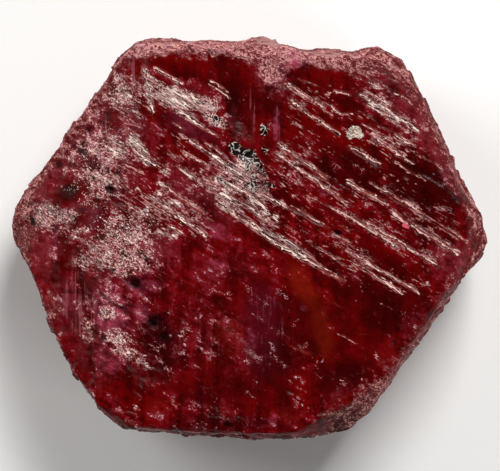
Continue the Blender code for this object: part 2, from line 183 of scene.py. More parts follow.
# Frosted ledges, with painted highlights
# The lips of the ledges are bruised to a pale frost, drawn paler still as a painted highlight where they
# catch the
# light: a thin line on the sharp ones, a wide band where many thin layers end together. Each is a start, an
# end, half the width of the frost, and its strength.
LIPS = [
    ((2.3, 10.9), (5.3, 9.0), 0.16, 0.9), ((2.7, 9.7), (6.5, 7.0), 0.16, 1.0),
    ((3.3, 11.2), (4.8, 10.5), 0.12, 0.6), ((4.5, 9.7), (5.5, 9.95), 0.08, 0.7),
    ((5.4, 9.95), (6.1, 10.3), 0.08, 1.0), ((6.0, 10.3), (7.1, 9.9), 0.08, 0.7),
    ((5.4, 9.4), (6.4, 8.6), 0.08, 0.8), ((6.4, 8.6), (7.7, 8.7), 0.07, 0.7),
    ((2.9, 8.1), (3.7, 7.6), 0.08, 0.8), ((1.8, 6.7), (5.7, 3.9), 0.26, 1.0),
    ((2.3, 5.6), (7.1, 2.2), 0.14, 1.0), ((1.6, 6.1), (4.4, 4.3), 0.08, 0.8),
    ((2.7, 2.4), (5.4, 0.8), 0.1, 0.8), ((0.9, 3.1), (2.8, 1.9), 0.16, 0.9),
    ((-2.1, 3.5), (0.6, 1.7), 0.12, 0.9), ((-1.5, 3.9), (0.9, 2.3), 0.1, 0.8),
    ((-1.1, 4.4), (1.4, 2.9), 0.09, 0.8), ((-2.1, 2.4), (3.1, -1.2), 0.2, 1.0),
    ((2.3, -0.7), (6.8, -3.1), 0.22, 1.0), ((1.9, 0.2), (4.6, -1.4), 0.16, 0.8),
    ((5.7, 2.0), (7.7, 1.3), 0.09, 0.7), ((8.4, 7.2), (11.6, 5.0), 0.13, 0.9),
    ((10.0, 7.3), (11.6, 6.3), 0.16, 0.8), ((6.9, 6.4), (9.3, 5.1), 0.13, 0.9),
    ((9.9, 5.4), (12.4, 3.8), 0.12, 0.7), ((6.6, 4.0), (9.6, 2.4), 0.28, 0.9),
    ((8.1, 4.0), (12.0, 1.9), 0.15, 0.8), ((9.6, 3.2), (15.2, -0.3), 0.14, 0.85),
    ((9.6, 2.0), (12.0, 0.4), 0.2, 0.9), ((11.4, 0.8), (14.8, -1.3), 0.3, 0.75),
    ((6.3, 1.9), (10.6, -0.8), 0.14, 0.9), ((7.7, 1.4), (13.8, -2.3), 0.1, 0.9),
    ((6.6, -0.7), (12.2, -4.1), 0.13, 0.9), ((7.1, -1.6), (10.9, -4.0), 0.17, 1.0),
    ((3.8, -0.1), (7.7, -2.6), 0.07, 0.7), ((5.4, 0.5), (8.2, -1.2), 0.07, 0.6),
    ((-5.0, 7.4), (-0.7, 4.5), 0.09, 1.0), ((-4.8, 6.1), (-2.6, 4.8), 0.07, 0.9),
    ((-3.1, 6.6), (-1.7, 5.8), 0.08, 0.9), ((-2.7, 6.5), (-1.4, 5.5), 0.07, 0.8),
    ((-5.1, 5.1), (-3.8, 4.1), 0.12, 0.8), ((-6.5, 4.0), (-3.0, 1.6), 0.2, 0.9),
    ((-5.1, 1.6), (-2.8, 0.1), 0.14, 0.8), ((-5.6, 0.8), (-4.5, 0.2), 0.12, 0.8),
    ((-6.8, 12.0), (-4.5, 10.7), 0.14, 1.0), ((-5.0, 8.9), (-2.0, 6.9), 0.12, 1.0),
    ((-5.4, 8.0), (-4.5, 7.5), 0.07, 0.8), ((-2.8, 11.1), (-1.3, 10.0), 0.06, 1.0),
    ((-2.9, 10.8), (-1.2, 9.6), 0.06, 0.9), ((-9.8, 9.2), (-8.5, 8.7), 0.1, 0.9),
    ((-9.3, 8.5), (-7.4, 7.6), 0.11, 0.9), ((-8.6, 7.7), (-7.6, 6.8), 0.24, 0.9),
    ((-6.2, 6.0), (-4.9, 5.6), 0.1, 0.6), ((-7.6, 5.6), (-6.4, 5.0), 0.2, 0.8),
    ((-7.4, 12.2), (-6.6, 8.5), 0.2, 0.8), ((4.4, 2.8), (6.6, 1.6), 0.1, 0.6),
    ((7.9, 8.0), (9.6, 6.7), 0.1, 0.7), ((9.0, 9.4), (12.0, 7.3), 0.16, 0.7),
    ((7.4, 10.2), (10.4, 8.2), 0.22, 0.68), ((8.4, 11.2), (11.8, 9.0), 0.2, 0.7),
    ((11.3, 6.2), (13.6, 4.6), 0.1, 0.6), ((6.3, -9.9), (10.1, -8.4), 0.02, 0.5),
    ((5.5, -11.7), (8.4, -10.4), 0.02, 0.5), ((1.5, -7.2), (5.4, -8.3), 0.02, 0.48),
    ((-6.2, -11.1), (-5.0, -11.7), 0.03, 0.6), ((-5.2, -11.75), (-4.3, -11.2), 0.02, 0.6),
    ((6.0, -6.6), (6.9, -7.0), 0.05, 0.65), ((6.8, -7.0), (7.7, -7.5), 0.04, 0.6),
    ((7.1, -6.6), (8.1, -6.8), 0.03, 0.5), ((3.0, -7.6), (4.3, -8.1), 0.04, 0.6),
    ((5.2, -4.1), (6.4, -4.9), 0.04, 0.6), ((-8.0, -7.2), (-6.6, -7.5), 0.06, 0.6),
    ((-7.7, -8.1), (-6.6, -8.3), 0.06, 0.6), ((-3.4, -10.4), (-2.4, -10.5), 0.04, 0.5),
    ((9.0, -4.4), (9.9, -4.9), 0.03, 0.5), ((-2.6, -5.4), (-1.6, -5.1), 0.04, 0.5),
]
LIP_FRINGE_MM = 0.05        # how far the frost fades past its width
LIP_STARTS = (-0.02, 0.08)  # the shares of a ledge's length where the frost on it starts
LIP_ENDS = (0.9, 1.02)      # and where it ends


def nearest_lips(points):
    """The strength at each point of the lip that counts most there, and how far off its line it lies."""
    strongest, across = np.zeros(len(points)), np.ones(len(points))
    for start, end, half_width, strength in LIPS:
        share, away = ledge_places(points, start, end)
        ends = ease(share, *LIP_STARTS) * (1 - ease(share, *LIP_ENDS))
        here = strength * ends * np.exp(-(away / (0.75 * half_width + LIP_FRINGE_MM)) ** 2)
        across = np.where(here > strongest, away, across)
        strongest = np.maximum(strongest, here)
    return strongest, np.clip(across, -1, 1)


lips, off_lip = nearest_lips(skin)

# Zones of the skin
# Where the crystal is frosted by broken micro-steps, where it is sound and glassy, and where it is stained or
# veiled. Two outlines bound the table and the part of it that the ledges streak. A zone is a centre, half its
# length and width, its turn in degrees, and its strength.
TABLE_EDGE = [
    (-8.4, 12.3), (-6.4, 12.7), (-4.1, 12.9), (-1.0, 12.7), (0.5, 12.1), (0.9, 10.6), (2.3, 10.4),
    (2.9, 12.1), (4.9, 12.1), (7.7, 11.2), (9.4, 11.2), (11.2, 9.6), (12.0, 7.9), (12.9, 6.0), (13.8, 4.2),
    (14.7, 2.4), (15.5, 0.8), (15.0, -1.0), (13.4, -3.6), (12.4, -5.4), (10.3, -8.4), (8.7, -9.9),
    (6.8, -11.2), (4.6, -12.7), (-2.7, -13.4), (-6.9, -13.2), (-9.6, -12.4), (-11.9, -8.7), (-13.3, -4.7),
    (-14.4, -1.5), (-15.2, 0.9), (-14.0, 3.7), (-11.9, 6.8), (-9.6, 9.9),
]
STREAKED_PART = [
    (-9.5, 2.0), (-6.0, -0.5), (-2.8, -0.6), (-1.6, 1.2), (0.6, -0.2), (3.9, -2.3), (7.2, -4.1), (11.0, -5.2),
    (13.0, -3.4), (15.2, 0.2), (12.6, 6.2), (10.6, 10.2), (5.2, 11.8), (2.4, 10.4), (1.6, 6.4), (-0.6, 4.6),
    (-2.2, 6.8), (-3.4, 10.6), (-7.6, 12.0), (-10.4, 6.0),
]
ZONES = {
    "frost": [  # micro-steps too small to see, as on the sugary left part and the foil above it
        ((-4.9, 9.7), (2.2, 0.75), -12, 2.0), ((-3.2, 9.3), (1.2, 0.6), -20, 1.7),
        ((-6.3, 10.7), (1.3, 0.35), -35, 1.3), ((-2.4, 8.2), (1.0, 0.42), -35, 1.8),
        ((-8.6, 10.2), (1.5, 1.6), 0, 1.1), ((-7.8, 6.4), (1.0, 0.5), -40, 1.5),
        ((-9.2, 6.6), (0.7, 0.3), -20, 1.3), ((-10.6, 4.6), (2.6, 3.6), 0, 0.62),
        ((-12.9, 1.5), (1.2, 0.7), 0, 1.1), ((-11.4, -1.6), (1.4, 0.8), 0, 0.9),
        ((-7.0, 10.2), (2.0, 0.35), -80, 1.2), ((-4.4, 8.5), (1.6, 0.4), -32, 0.8),
        ((-8.9, 5.9), (1.6, 0.5), -20, 0.8), ((-6.8, 5.3), (1.8, 0.45), -30, 0.75),
        ((-9.4, 4.6), (1.2, 0.6), 0, 0.6), ((-8.4, 0.9), (3.6, 1.8), 5, 0.8),
        ((-6.1, 2.2), (2.6, 0.8), -25, 0.9), ((-10.6, -0.6), (1.6, 1.2), 0, 0.7),
        ((-9.4, -1.4), (2.8, 1.0), 10, 0.8), ((-6.0, 0.6), (1.2, 0.6), -30, 0.8),
        ((-8.4, -2.3), (2.0, 0.5), 20, 0.7), ((-1.8, 5.0), (1.6, 0.6), -35, 0.8),
        ((0.0, 3.5), (2.2, 0.9), -35, 1.35), ((-1.6, 2.6), (1.4, 0.7), -35, 1.0),
        ((1.0, 1.7), (1.8, 0.6), -35, 0.95), ((-1.3, 3.8), (1.4, 0.8), -25, 1.05),
        ((2.4, -0.4), (2.6, 0.4), -32, 0.9), ((-3.4, 4.0), (1.6, 0.5), -35, 0.7),
        ((1.0, 3.7), (0.9, 0.35), 0, 0.8), ((0.0, 4.7), (1.5, 0.8), -25, 1.7),
        ((-1.2, 4.6), (1.6, 0.5), -20, 1.2), ((8.6, 10.4), (2.2, 0.9), -35, 0.5),
        ((11.0, 7.9), (1.2, 0.6), -40, 0.6), ((9.5, 8.7), (2.6, 0.4), -35, 0.8),
        ((10.4, 6.5), (1.4, 0.4), -35, 0.7), ((-9.3, -6.9), (1.4, 0.7), -10, 1.0),
        ((-9.8, -4.2), (1.2, 1.6), 0, 0.6), ((-8.6, -7.9), (1.2, 0.5), -10, 0.85),
        ((-9.9, -5.3), (0.7, 0.5), 0, 1.4), ((-8.0, -8.4), (1.0, 0.35), -20, 0.85),
        ((-7.1, -9.0), (0.7, 0.25), 0, 0.9), ((-6.7, -3.9), (0.9, 0.7), 0, 0.5),
        ((-4.6, -6.2), (0.7, 1.2), 20, 0.5), ((-11.7, -3.6), (0.5, 1.6), 15, 0.5),
        ((-11.4, -6.4), (0.6, 1.4), 15, 0.6), ((3.2, -2.9), (0.9, 0.3), -30, 0.4),
        ((-12.6, 0.4), (1.0, 0.9), 0, 0.7), ((-14.3, 1.6), (1.2, 1.3), 0, 1.0),
    ],
    "glass": [  # sound windows
        ((-4.6, 12.0), (2.6, 0.7), -8, 1.0), ((-2.0, 11.9), (1.6, 1.1), 0, 0.9),
        ((-0.7, 10.6), (1.2, 2.2), 0, 1.0), ((5.2, 11.2), (2.2, 0.9), -14, 1.0),
        ((5.9, 10.2), (1.6, 0.6), -25, 0.8), ((-9.6, 8.1), (0.8, 0.8), 15, 1.2),
        ((-11.2, 5.2), (0.7, 0.5), 0, 1.0), ((-6.6, 5.0), (0.6, 0.5), 0, 0.9),
        ((-8.3, 11.7), (0.4, 0.6), 0, 1.0), ((6.0, 7.0), (3.4, 0.9), -35, 0.9),
        ((3.0, 6.8), (0.9, 1.4), 0, 0.9), ((11.8, 3.9), (2.2, 1.3), -35, 1.0),
        ((8.4, 5.0), (1.4, 0.7), -35, 0.7), ((8.2, -6.5), (4.2, 4.4), 0, 1.0),
        ((3.2, -5.5), (2.4, 3.6), 0, 0.8), ((9.8, -1.4), (2.4, 0.5), -35, 0.9),
        ((8.4, -0.6), (1.6, 0.5), -35, 0.8), ((6.8, 9.2), (1.2, 0.6), -10, 1.0),
        ((4.0, 1.8), (1.6, 0.5), -35, 0.8), ((5.8, 4.4), (1.8, 0.4), -35, 0.8),
        ((-4.7, 7.9), (1.6, 0.6), -30, 0.9), ((-3.2, 7.4), (1.6, 0.5), -35, 0.9),
        ((-3.2, 5.6), (1.4, 0.4), -35, 0.6), ((-0.2, -4.0), (1.8, 1.8), 0, 0.7),
        ((1.0, -10.8), (4.0, 1.4), 0, 0.8), ((-3.6, -9.4), (2.0, 1.8), 0, 0.6),
        ((-12.5, 3.3), (1.3, 0.9), 25, 1.8), ((-12.9, -1.0), (0.4, 1.4), 0, 0.9),
        ((0.6, 8.4), (1.0, 2.4), 0, 0.8), ((-8.2, -10.6), (2.2, 1.2), -20, 0.7),
        ((-8.0, 11.8), (0.4, 1.4), 8, 1.0), ((-7.8, 9.9), (0.4, 1.2), 20, 1.0),
        ((-6.6, 8.6), (0.5, 1.0), 15, 1.0), ((-10.9, 1.5), (1.1, 1.2), 0, 1.3),
    ],
    "violet": [  # bluer growth zones
        ((-4.6, 7.9), (1.8, 0.9), -30, 0.9), ((-3.1, 7.5), (1.8, 0.6), -35, 0.8),
        ((0.9, -6.4), (1.8, 4.4), 0, 0.8), ((-12.7, -4.6), (1.2, 2.6), 0, 0.7),
        ((-10.8, 1.4), (1.0, 1.4), 0, 0.9), ((-9.6, 3.4), (1.0, 0.8), 0, 0.9),
        ((3.4, 6.7), (0.5, 0.8), 0, 0.4), ((-8.7, 8.4), (0.6, 2.0), 15, 0.6),
        ((-1.6, -2.0), (1.8, 1.0), 0, 0.4), ((-10.6, 1.6), (1.2, 0.9), 0, 0.7),
        ((-9.2, 3.0), (0.8, 0.8), 0, 0.6), ((-4.4, 3.4), (1.6, 0.7), -30, 0.3),
    ],
    "pink": [  # thin pink veils
        ((-7.1, 10.4), (2.2, 0.4), -80, 0.45), ((-6.4, 7.6), (1.2, 0.4), -85, 0.4),
        ((2.9, 12.7), (1.2, 1.0), -10, 1.25), ((-9.7, -5.2), (1.6, 3.0), 10, 0.7),
        ((-10.8, -1.5), (1.2, 0.7), 0, 0.5), ((1.4, 11.4), (0.9, 1.0), 0, 0.8),
        ((1.9, 7.8), (0.3, 2.0), -3, 0.7), ((-10.9, 6.6), (0.5, 2.0), -20, 0.5),
        ((-9.5, -8.4), (1.6, 1.8), 0, 0.5), ((-13.6, 0.4), (0.8, 2.0), 0, 0.4),
        ((-2.0, 0.4), (1.2, 0.8), -30, 0.6), ((-7.2, -3.4), (1.8, 1.0), 0, 0.5),
        ((5.2, 3.2), (0.6, 0.5), -35, 0.6), ((-7.6, -5.2), (0.7, 0.9), 30, 0.6),
        ((-9.8, -6.2), (1.4, 0.9), 0, 0.6), ((0.2, -7.0), (0.5, 1.0), 30, 0.5),
        ((-2.2, -1.8), (0.9, 0.5), -20, 0.6), ((7.3, -2.6), (0.5, 0.3), -20, 0.5),
        ((1.6, -12.6), (0.8, 0.6), 0, 0.45), ((3.8, -4.9), (0.4, 0.3), 0, 0.5),
        ((-11.3, 9.0), (0.5, 0.8), 0, 0.4),
    ],
    "glow": [  # warm parts, lit from within
        ((3.9, -3.7), (2.8, 1.0), -62, 0.7), ((5.0, -6.3), (2.8, 1.0), -76, 0.7),
        ((3.0, -1.9), (0.8, 0.5), -40, 0.5), ((-1.5, -7.0), (1.6, 2.4), 0, 0.45),
        ((2.6, -12.2), (1.6, 0.9), 0, 0.5), ((-6.0, -11.6), (2.0, 1.0), 0, 0.4),
    ],
    "haze": [  # mauve clouding
        ((-7.1, 10.4), (2.2, 0.55), -80, 0.9), ((-3.8, 7.7), (2.0, 0.8), -32, 0.75),
        ((-8.4, -0.6), (3.8, 2.6), 0, 1.0), ((-9.6, -6.6), (3.0, 4.4), 0, 0.6),
        ((-1.5, -3.2), (3.0, 2.4), -20, 0.4), ((-3.2, -8.6), (3.4, 3.4), 0, 0.35),
        ((-10.4, 5.4), (3.6, 6.0), -30, 0.9), ((1.0, -8.6), (3.0, 3.6), 0, 0.2),
        ((-14.0, 0.2), (2.2, 3.4), 0, 0.5), ((-3.4, 3.0), (3.6, 2.6), -30, 0.7),
        ((7.2, -10.2), (3.0, 0.7), 42, 0.5), ((10.6, -7.2), (1.4, 3.4), -38, 0.7),
        ((13.8, -1.6), (1.6, 1.6), 0, 0.7), ((3.0, 5.0), (2.4, 4.6), -20, 0.3),
        ((10.6, 8.8), (3.6, 2.0), -50, 0.7), ((-4.2, 9.4), (3.6, 2.2), -20, 0.5),
        ((-2.0, -12.4), (6.0, 1.2), 0, 0.15), ((1.5, 11.2), (1.6, 2.0), 0, 0.8),
        ((14.2, 4.4), (1.2, 3.0), 28, 0.7),
    ],
    "striae": [  # fine upright growth lines
        ((-11.9, -4.6), (1.3, 2.6), 8, 1.0), ((-10.6, 6.6), (0.9, 2.4), -12, 0.8),
        ((0.2, 8.6), (0.3, 2.8), 0, 0.7), ((1.9, 7.6), (0.4, 2.8), -3, 0.6),
        ((-8.0, 11.4), (0.5, 1.6), 8, 0.7), ((-3.0, -7.0), (3.0, 3.6), 0, 0.35),
        ((1.0, -6.0), (3.0, 4.0), 0, 0.35), ((-6.4, -4.4), (1.6, 3.0), 0, 0.4),
        ((2.0, 12.6), (2.4, 1.2), 0, 0.5),
    ],
    "dusty": [  # rims worn to a pale dust
        ((-5.0, 13.2), (6.0, 1.2), 0, 0.8), ((4.0, 12.9), (6.0, 1.2), -5, 0.7),
        ((-13.4, 5.2), (0.9, 2.4), -38, 0.15), ((-11.6, 8.6), (0.9, 2.0), -35, 0.3),
        ((-15.4, 2.6), (0.6, 0.9), 0, 0.4), ((8.4, -10.9), (3.0, 1.2), 48, 0.3),
        ((1.4, 11.6), (1.4, 1.4), 0, 0.8),
    ],
    "bare": [  # rims that are still sound and red
        ((12.9, 6.2), (6.0, 1.3), -60, 0.2), ((10.2, 10.8), (2.6, 1.4), -35, 0.25),
        ((13.2, -5.2), (3.0, 1.0), 57, 0.35), ((-10.6, -10.6), (2.4, 1.6), -50, 1.0),
        ((-13.9, 3.6), (1.2, 2.0), -40, 0.7), ((-14.6, -2.6), (0.9, 2.4), 15, 1.0),
        ((-13.0, -7.4), (1.0, 2.2), 25, 0.8), ((0.0, -13.6), (9.0, 1.2), 0, 1.0),
        ((15.4, -1.4), (1.4, 1.6), 0, 0.6), ((14.0, -4.2), (0.9, 1.8), -30, 0.5),
        ((-10.6, -11.6), (1.4, 1.4), 0, 0.9), ((-11.6, 9.0), (0.8, 1.6), -40, 0.4),
        ((14.9, 3.4), (0.7, 1.6), 25, 0.4),
    ],
    "dark": [  # deep-coloured parts, and small pits painted dark as painted shade
        ((6.3, -9.8), (2.4, 1.6), 30, 0.6), ((-12.6, 3.2), (1.2, 0.8), 25, 0.76),
        ((-12.0, 3.8), (0.5, 0.9), -10, 0.6), ((-9.6, 3.3), (0.55, 0.4), 20, 1.2),
        ((-15.4, 1.2), (0.35, 0.45), 0, 1.4), ((-0.9, 8.8), (0.9, 3.0), 0, 0.6),
        ((-7.9, -3.1), (0.65, 0.5), -40, 1.4), ((-6.6, -5.7), (0.7, 0.5), 20, 1.4),
        ((-5.9, -6.8), (0.35, 0.35), 0, 1.3), ((-9.5, -2.2), (0.35, 0.3), 0, 1.2),
        ((6.1, 0.4), (0.3, 0.25), 0, 1.3), ((-1.5, -12.9), (0.5, 0.25), -20, 1.4),
        ((12.4, 0.6), (2.8, 1.5), -32, 0.5), ((9.6, -4.4), (4.6, 3.0), -30, 0.55),
        ((12.0, 3.6), (3.6, 2.6), -30, 0.66), ((8.6, -1.6), (4.0, 1.2), -30, 0.5),
        ((3.0, -5.6), (2.6, 3.0), 0, 0.45), ((-6.2, -7.6), (2.2, 3.4), 0, 0.68),
        ((-1.5, -12.9), (6.0, 0.8), 0, 0.6), ((1.5, -8.6), (2.6, 2.6), 0, 0.55),
        ((6.4, 4.8), (4.0, 2.0), -35, 0.5), ((-2.0, -10.6), (4.0, 2.0), 0, 0.5),
        ((-10.9, 4.6), (0.9, 2.4), -15, 0.6), ((-3.2, -5.0), (1.2, 3.0), 0, 0.4),
        ((7.0, 8.4), (2.0, 1.2), -30, 0.4),
    ],
    "mica": [  # black and grey flakes in the pit and round it
        ((-0.9, 6.2), (0.8, 0.5), -30, 1.2), ((-0.1, 5.7), (0.9, 0.6), -30, 1.2),
        ((1.0, 7.5), (0.4, 0.6), 0, 0.9), ((1.1, 6.2), (0.4, 1.0), 10, 0.85),
        ((0.5, 4.8), (1.2, 0.8), -30, 0.74), ((0.6, 3.7), (1.5, 0.6), 0, 0.74),
        ((-1.6, 4.0), (1.0, 0.5), -10, 0.66), ((-2.3, 8.3), (0.4, 0.28), -30, 1.0),
    ],
    "crumb": [  # a crumb of cream rock
        ((7.3, 7.4), (0.62, 0.46), 30, 1.0), ((7.7, 7.1), (0.4, 0.3), 0, 0.8),
        ((6.95, 7.0), (0.3, 0.25), 0, 0.7),
    ],
    "chalky": [  # chalk-like knobs at the top edge
        ((1.5, 13.9), (1.6, 0.7), 0, 1.3), ((5.2, 12.9), (1.9, 0.5), -6, 0.9),
    ],
    "coral": [  # a coral-pink fleck
        ((10.85, 0.85), (0.28, 0.17), -30, 1.0),
    ],
}
SOFT_EDGE = (0.35, 1.35)    # where a zone starts to fade and where it ends, in shares of its half size
RIM_TILT = (0.15, 0.55)     # how far a face looks up, from a side to the table
RIM_RISE_MM = (6.0, 8.5)    # and how high it lies
SHADED_RIM_MM = (10.5, 13.5)    # where the rim below the middle starts to darken with painted shade, and is all in it
LOW_SIDE_MM = (5.0, 11.0)   # the height up to which a side has its own finish, and where that ends


def zone_strength(points, zones):
    """The strongest of some soft-edged patches at each point."""
    strength = np.zeros(len(points))
    for (x, y), (half_length, half_width), turn, most in zones:
        angle = math.radians(turn)
        right = (points[:, 0] - x) * math.cos(angle) + (points[:, 1] - y) * math.sin(angle)
        up = (points[:, 1] - y) * math.cos(angle) - (points[:, 0] - x) * math.sin(angle)
        reach = np.sqrt((right / half_length) ** 2 + (up / half_width) ** 2)
        strength = np.maximum(strength, most * (1 - ease(reach, *SOFT_EDGE)))
    return strength


def outside_distance(points, outline):
    """How far each point lies outside a closed outline, and less than zero inside it."""
    nearest = np.full(len(points), np.inf)
    inside = np.zeros(len(points), dtype=bool)
    for (x1, y1), (x2, y2) in zip(outline, outline[1:] + outline[:1]):
        side = np.array([x2 - x1, y2 - y1])
        away = points[:, :2] - np.array([x1, y1])
        share = np.clip(away @ side / (side @ side), 0, 1)
        nearest = np.minimum(nearest, np.linalg.norm(away - share[:, None] * side, axis=1))
        crosses = (y1 > points[:, 1]) != (y2 > points[:, 1])
        if y1 != y2:
            inside ^= crosses & (points[:, 0] < (x2 - x1) * (points[:, 1] - y1) / (y2 - y1) + x1)
    return np.where(inside, -nearest, nearest)


rim_distance = outside_distance(skin, TABLE_EDGE)
on_top = ease(looks[:, 2], *RIM_TILT) * ease(skin[:, 2], *RIM_RISE_MM)
off_table = 1 - on_top
zone_strengths = {zone: zone_strength(skin, patches) for zone, patches in ZONES.items()}
frost, glass = zone_strengths["frost"], zone_strengths["glass"]
write_masks(crystal.data, **{zone: strength * on_top for zone, strength in zone_strengths.items()})
write_masks(
    crystal.data, lip=lips * on_table, off_lip=off_lip, wall=off_table, flat=on_top * (1 - 0.5 * glass),
    rim=np.clip(np.maximum(rim_distance, off_table * 3 - 2), -2, 3),
    streaks=ease(-outside_distance(skin, STREAKED_PART), -0.8, 0.8) * on_top,
    south=ease(-skin[:, 1], *SHADED_RIM_MM), side=off_table * (1 - ease(skin[:, 2], *LOW_SIDE_MM)))

# Growth relief
# Where the layers break off unevenly they leave small flat facets, each tilted its own way: coarse at the
# left, on the rim and on the sides, and almost absent where the skin is glassy. Each run is a facet's width,
# its length along the ledges, its depth, how much of that is a step, the mask that it follows, and a seed.
FACET_RUNS = [
    (1.5, 1.9, 0.50, 0.10, "lumpy", 12.0), (0.9, 1.4, 0.12, 0.5, "rough", 3.0),
    (0.35, 0.7, 0.05, 0.5, "rough", 8.0), (2.2, 3.4, 0.35, 0.5, "walls", 5.0),
    (0.8, 1.4, 0.14, 0.5, "walls", 6.0),
]
RESTING_MM = (0.05, 0.5)    # the relief starts at this height above the floor, and is full at this one
ROUGH_LEFT_MM = (4, 10)     # how far left of the middle the skin turns rough
LUMPY_LEFT_MM = (6.4, 9.6)  # and lumpy
ROUGH_RIM_MM = (-0.3, 0.6)  # how far outside the table's edge the rim turns rough
LUMPY_RIM_MM = (-1.2, 0.2)  # and lumpy
SHEER_DEGREES = (9, 24)     # how steep a face is where frost starts to gather, and where it is full
SHARP_BEND = 3.0            # how sharply a worn edge bends, in radians for each millimetre


def add_node(tree, kind, inputs=None, **settings):
    """Add one node to a tree: its settings, and for each input a value or the socket that feeds it."""
    node = tree.nodes.new(kind)
    for name, value in settings.items():
        setattr(node, name, value)
    for socket, value in (inputs or {}).items():
        if isinstance(value, bpy.types.NodeSocket):
            tree.links.new(value, node.inputs[socket])
        else:
            node.inputs[socket].default_value = value
    return node


def facet_tree():
    """Geometry nodes that break a surface into small flat facets, by a mask that the surface holds."""
    tree = bpy.data.node_groups.new("broken_facets", 'GeometryNodeTree')
    for name, kind in (("Geometry", 'Geometry'), ("Facet size", 'Float'), ("Facet length", 'Float'),
                       ("Depth", 'Float'), ("Step", 'Float'), ("Mask", 'String'), ("Seed", 'Float'),
                       ("Material", 'Material')):
        tree.interface.new_socket(name, in_out='INPUT', socket_type="NodeSocket" + kind)
    tree.interface.new_socket("Geometry", in_out='OUTPUT', socket_type='NodeSocketGeometry')
    given = add_node(tree, 'NodeGroupInput').outputs
    place = add_node(tree, 'GeometryNodeInputPosition').outputs[0]
    turned = add_node(tree, 'ShaderNodeVectorRotate', {"Vector": place, "Angle": -LEDGE_ANGLE},
                      rotation_type='Z_AXIS').outputs[0]
    sizes = add_node(tree, 'ShaderNodeCombineXYZ', {0: given["Facet length"], 1: given["Facet size"],
                                                    2: given["Facet size"]}).outputs[0]
    cells = add_node(tree, 'ShaderNodeVectorMath', {0: turned, 1: sizes}, operation='DIVIDE').outputs[0]
    bent = add_node(tree, 'ShaderNodeTexNoise', {"Vector": cells, "Scale": 1.3, "Detail": 2.0}).outputs
    bend = add_node(tree, 'ShaderNodeVectorMath', {0: bent["Color"], "Scale": 0.35}, operation='SCALE')
    uneven = add_node(tree, 'ShaderNodeVectorMath', {0: cells, 1: bend.outputs[0]}).outputs[0]
    broken = add_node(tree, 'ShaderNodeTexVoronoi', {"Vector": uneven, "W": given["Seed"], "Scale": 1.0},
                      voronoi_dimensions='4D').outputs
    away = add_node(tree, 'ShaderNodeVectorMath', {0: uneven, 1: broken["Position"]}, operation='SUBTRACT')
    tilt = add_node(tree, 'ShaderNodeVectorMath', {0: broken["Color"], 1: (0.5, 0.5, 0.5)},
                    operation='SUBTRACT')
    slope = add_node(tree, 'ShaderNodeVectorMath', {0: away.outputs[0], 1: tilt.outputs[0]},
                     operation='DOT_PRODUCT').outputs["Value"]
    step = add_node(tree, 'FunctionNodeSeparateColor', {0: broken["Color"]}).outputs[1]
    height = add_node(tree, 'ShaderNodeMath', {0: step, 1: given["Step"], 2: slope},
                      operation='MULTIPLY_ADD').outputs[0]
    mask = add_node(tree, 'GeometryNodeInputNamedAttribute', {"Name": given["Mask"]}).outputs[0]
    masked = add_node(tree, 'ShaderNodeMath', {0: height, 1: mask}, operation='MULTIPLY').outputs[0]
    depth = add_node(tree, 'ShaderNodeMath', {0: given["Depth"], 1: -1.0}, operation='MULTIPLY').outputs[0]
    shift = add_node(tree, 'ShaderNodeMath', {0: masked, 1: depth}, operation='MULTIPLY').outputs[0]
    normal = add_node(tree, 'GeometryNodeInputNormal').outputs[0]
    offset = add_node(tree, 'ShaderNodeVectorMath', {0: normal, "Scale": shift}, operation='SCALE').outputs[0]
    moved = add_node(tree, 'GeometryNodeSetPosition', {"Geometry": given["Geometry"], "Offset": offset})
    real = add_node(tree, 'GeometryNodeRealizeInstances', {0: moved.outputs[0]})
    coated = add_node(tree, 'GeometryNodeSetMaterial', {"Geometry": real.outputs[0],
                                                        "Material": given["Material"]})
    add_node(tree, 'NodeGroupOutput', {0: coated.outputs[0]})
    return tree


def run_tree(piece, tree, **values):
    """Apply a node tree to a piece, with a value for each of its named inputs."""
    step = piece.modifiers.new(tree.name, 'NODES')
    step.node_group = tree
    for item in tree.interface.items_tree:
        key = item.name.replace(" ", "_")
        if item.in_out == 'INPUT' and key in values:
            step[item.identifier] = values[key]
    piece.data = evaluated_mesh(piece)
    piece.modifiers.clear()


def convexity(data, points):
    """How sharply the skin is bent outwards at each vertex: above 0 on edges, below 0 in hollows."""
    edges = np.empty(len(data.edges) * 2, dtype=np.int64)
    data.edges.foreach_get("vertices", edges)
    first, second = edges.reshape(-1, 2).T
    normals = read_points(data, "normal")
    apart = points[second] - points[first]
    length = np.maximum(np.linalg.norm(apart, axis=1), 1e-6)
    bend = np.einsum("ij,ij->i", normals[second] - normals[first], apart) / length ** 2
    total = np.bincount(first, bend, len(points)) + np.bincount(second, bend, len(points))
    share = np.bincount(first, minlength=len(points)) + np.bincount(second, minlength=len(points))
    return total / np.maximum(share, 1)


rough = 0.35 + 0.5 * frost - 0.6 * glass + 0.4 * ease(-skin[:, 0], *ROUGH_LEFT_MM)
rough = np.maximum(np.clip(rough, 0.05, 1) * on_table, 0.8 * ease(rim_distance, *ROUGH_RIM_MM))
lumpy = ease(-skin[:, 0] - 0.12 * skin[:, 1], *LUMPY_LEFT_MM) * on_top
lumpy = np.maximum(lumpy, 0.45 * ease(rim_distance, *LUMPY_RIM_MM) * on_top)
lifted = ease(skin[:, 2], *RESTING_MM)
write_masks(crystal.data, rough=rough * lifted, walls=off_table * lifted, lumpy=lumpy * (1 - 0.6 * glass))
ruby = bpy.data.materials.new("raw_ruby_skin")
facets = facet_tree()
for size, length, depth, step, mask, seed in FACET_RUNS:
    run_tree(crystal, facets, Facet_size=size / MM, Facet_length=length / MM, Depth=depth / MM, Step=step,
             Mask=mask, Seed=seed, Material=ruby)

